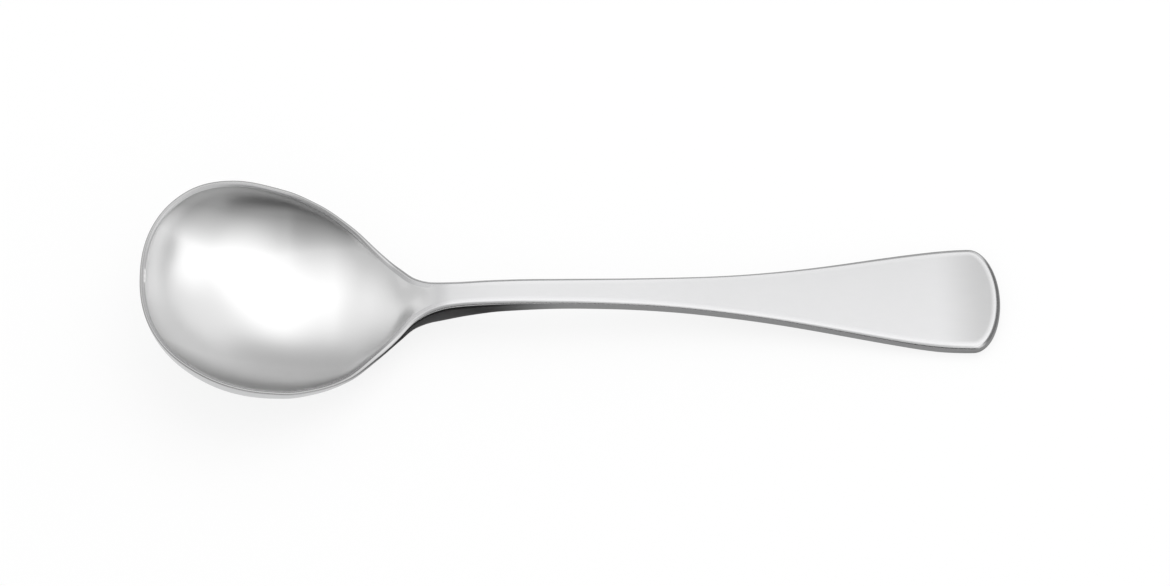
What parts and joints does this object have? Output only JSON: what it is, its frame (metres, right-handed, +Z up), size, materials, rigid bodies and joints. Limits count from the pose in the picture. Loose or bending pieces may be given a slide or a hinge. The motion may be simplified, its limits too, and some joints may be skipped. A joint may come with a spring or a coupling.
{
  "type": "soup spoon",
  "caption": "Solid steel soup spoon with a round, deep bowl, a narrow, deep neck, a slim stem and a broad, flat, rounded handle end.",
  "frame": {"origin": "on the surface that the spoon rests on, under the middle of its length and width", "axes": "+X from the bowl's tip towards the end of the handle, +Y across the spoon, +Z up, with the bowl's hollow facing up"},
  "size_m": [0.176, 0.0484, 0.0218],
  "materials": {
    "steel": "polished stainless steel, mirror bright in the bowl, fine satin on the handle's faces"
  },
  "bodies": {
    "root": {"bowl": "steel", "neck": "steel", "stem": "steel", "handle_end": "steel"}
  },
  "joints": []
}
